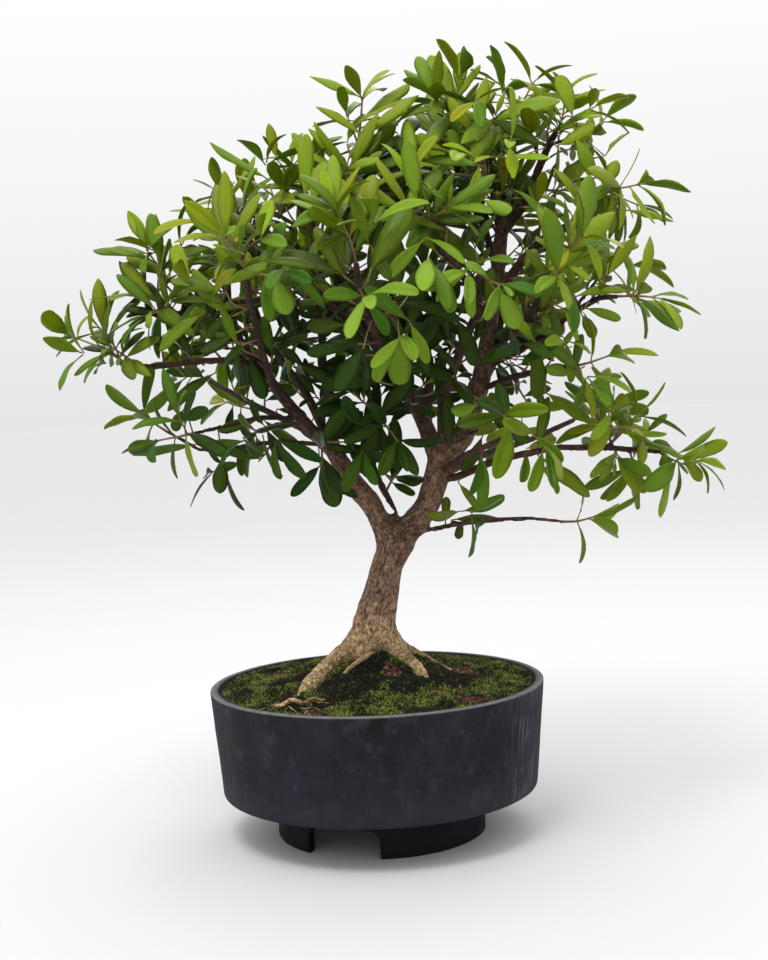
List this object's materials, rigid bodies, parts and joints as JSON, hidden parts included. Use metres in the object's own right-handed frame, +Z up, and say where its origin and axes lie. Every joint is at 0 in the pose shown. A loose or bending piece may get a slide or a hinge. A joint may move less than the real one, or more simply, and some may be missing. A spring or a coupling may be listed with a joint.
{
  "type": "pomegranate bonsai",
  "caption": "Small pomegranate tree with a forked trunk, surface roots and leafy shoots on all sides, planted in mossy soil in a round drum pot on a notched foot ring.",
  "frame": {"origin": "middle of the whole model's box in X and Y, on the plane that the pot's foot ring stands on", "axes": "+Z up, +X to the right of the tree's front, +Y to its back; the longest extent is the height, along Z"},
  "size_m": [0.4112, 0.325, 0.4905],
  "materials": {
    "stoneware": "matt, dark charcoal, unglazed, faint chalky streaks",
    "mossy_soil": "matt, dark earth with patchy green moss",
    "old_root": "matt, dry, tan",
    "bark": "matt, finely fissured grey-brown bark, paler and tan at the base",
    "leaf": "smooth, slightly glossy, yellow-green to deep green"
  },
  "bodies": {
    "root": {"pot": "stoneware", "soil": "mossy_soil", "loose_root": "old_root", "wood": "bark", "spray_far_left": "leaf", "spray_left_top": "leaf", "spray_left_middle": "leaf", "spray_left_inner": "leaf", "spray_left_high": "leaf", "spray_left_peak": "leaf", "spray_left_front": "leaf", "spray_shoulder": "leaf", "spray_shoulder_right": "leaf", "spray_top_stem": "leaf", "spray_middle_top": "leaf", "spray_middle_front": "leaf", "spray_right_of_middle": "leaf", "spray_hanging_left": "leaf", "spray_hanging_middle": "leaf", "spray_hanging_right": "leaf", "spray_hanging_far_right": "leaf", "spray_crown_top": "leaf", "spray_crown_left": "leaf", "spray_crown_middle": "leaf", "spray_crown_right": "leaf", "spray_crown_far_right": "leaf", "spray_crown_front": "leaf", "spray_right_high": "leaf", "spray_right_out": "leaf", "spray_right_tip": "leaf", "spray_right_middle": "leaf", "spray_right_front": "leaf", "spray_right_front_low": "leaf", "spray_low_right_up": "leaf", "spray_low_right_down": "leaf", "spray_low_right_end": "leaf", "spray_front_low": "leaf", "spray_lowest_end": "leaf", "spray_lowest_start": "leaf", "spray_low_left_end": "leaf", "spray_low_left_tip": "leaf", "spray_low_left_down": "leaf", "spray_low_left_front": "leaf", "spray_inner_left": "leaf", "spray_inner_low": "leaf", "spray_inner_right": "leaf", "spray_back_left": "leaf", "spray_back_left_low": "leaf", "spray_back_far_left": "leaf", "spray_back_far_left_low": "leaf", "spray_back_left_high": "leaf", "spray_back_middle": "leaf", "spray_back_middle_low": "leaf", "spray_back_right": "leaf", "spray_back_right_inner": "leaf", "spray_back_far_right": "leaf", "spray_back_right_low": "leaf", "spray_back_top": "leaf", "spray_back_top_inner": "leaf"}
  },
  "joints": []
}
